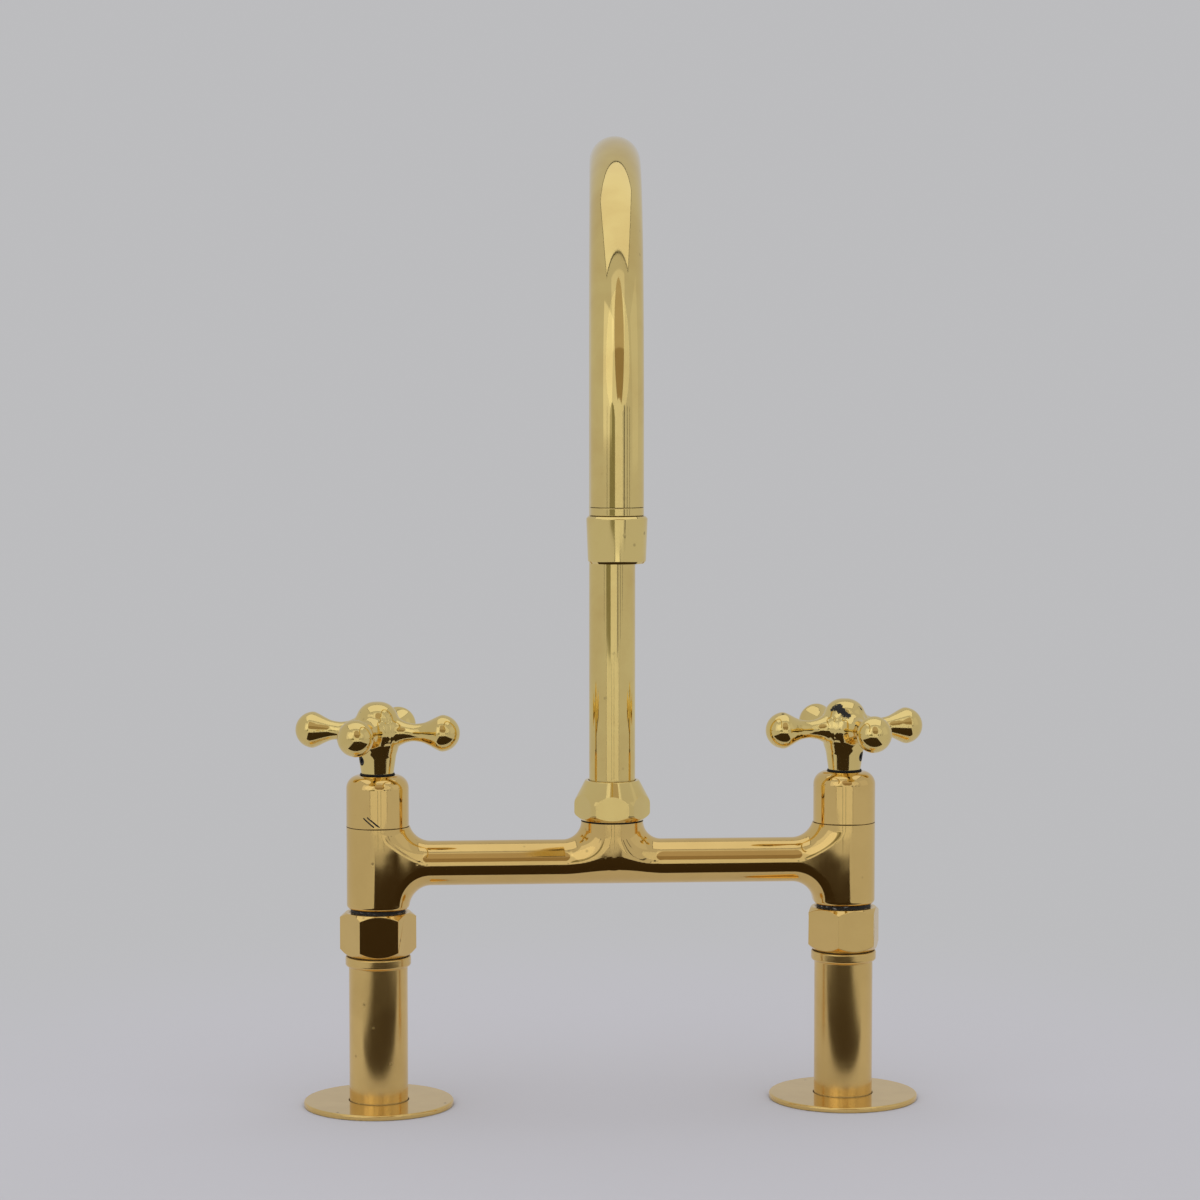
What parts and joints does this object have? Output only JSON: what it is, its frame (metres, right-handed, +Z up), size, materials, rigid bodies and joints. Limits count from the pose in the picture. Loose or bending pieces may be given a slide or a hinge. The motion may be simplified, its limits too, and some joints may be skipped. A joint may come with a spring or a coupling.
{
  "type": "bridge kitchen faucet",
  "caption": "Bridge kitchen faucet in polished brass: legs and a bar carry cross-handle valves and a swivelling gooseneck spout.",
  "frame": {"origin": "on the deck's upper face, midway between the axes of the legs", "axes": "+Z up along the riser, +X towards the cold (right) leg as the user sees it, -Y towards the user; the spout reaches towards -Y"},
  "size_m": [0.2741, 0.2465, 0.472],
  "materials": {
    "polished_brass": "unlacquered, polished",
    "plain_brass": "machined",
    "steel": "satin stainless",
    "rubber": "matte",
    "ceramic": "ground and lapped",
    "acetal": "matte",
    "black_plastic": "matte"
  },
  "bodies": {
    "faucet_body": {"bridge_body": "polished_brass", "spout_nut": "polished_brass", "slip_bush": "acetal", "left_flange": "polished_brass", "left_deck_gasket": "rubber", "left_shank": "plain_brass", "left_rubber_washer": "rubber", "left_steel_washer": "steel", "left_back_nut": "plain_brass", "left_leg": "polished_brass", "left_tailpiece": "plain_brass", "left_union_washer": "rubber", "left_union_nut": "polished_brass", "left_cartridge_body": "plain_brass", "left_cartridge_seal": "rubber", "left_fixed_disc": "ceramic", "left_bonnet": "polished_brass", "right_flange": "polished_brass", "right_deck_gasket": "rubber", "right_shank": "plain_brass", "right_rubber_washer": "rubber", "right_steel_washer": "steel", "right_back_nut": "plain_brass", "right_leg": "polished_brass", "right_tailpiece": "plain_brass", "right_union_washer": "rubber", "right_union_nut": "polished_brass", "right_cartridge_body": "plain_brass", "right_cartridge_seal": "rubber", "right_fixed_disc": "ceramic", "right_bonnet": "polished_brass"},
    "spout": {"spout_tube": "polished_brass", "spout_ferrule": "plain_brass", "spout_oring_lower": "rubber", "spout_oring_upper": "rubber", "spout_tip": "polished_brass", "aerator_housing": "polished_brass", "aerator_washer": "rubber", "aerator_screen": "steel", "aerator_core": "black_plastic"},
    "left_handle_set": {"left_handle": "polished_brass", "left_handle_screw": "steel", "left_spindle": "plain_brass", "left_spindle_clip": "steel", "left_spindle_oring": "rubber", "left_moving_disc": "ceramic"},
    "right_handle_set": {"right_handle": "polished_brass", "right_handle_screw": "steel", "right_spindle": "plain_brass", "right_spindle_clip": "steel", "right_spindle_oring": "rubber", "right_moving_disc": "ceramic"}
  },
  "joints": [
    {"name": "spout_swivel", "type": "hinge", "parent": "faucet_body", "child": "spout", "pos_m": [0, 0, 0.14], "axis": [0, 0, 1], "continuous": true},
    {"name": "left_handle_turn", "type": "hinge", "parent": "faucet_body", "child": "left_handle_set", "pos_m": [-0.1016, 0, 0.1445], "axis": [0, 0, 1], "range_deg": [0, 90]},
    {"name": "right_handle_turn", "type": "hinge", "parent": "faucet_body", "child": "right_handle_set", "pos_m": [0.1016, 0, 0.1445], "axis": [0, 0, 1], "range_deg": [-90, 0]}
  ]
}
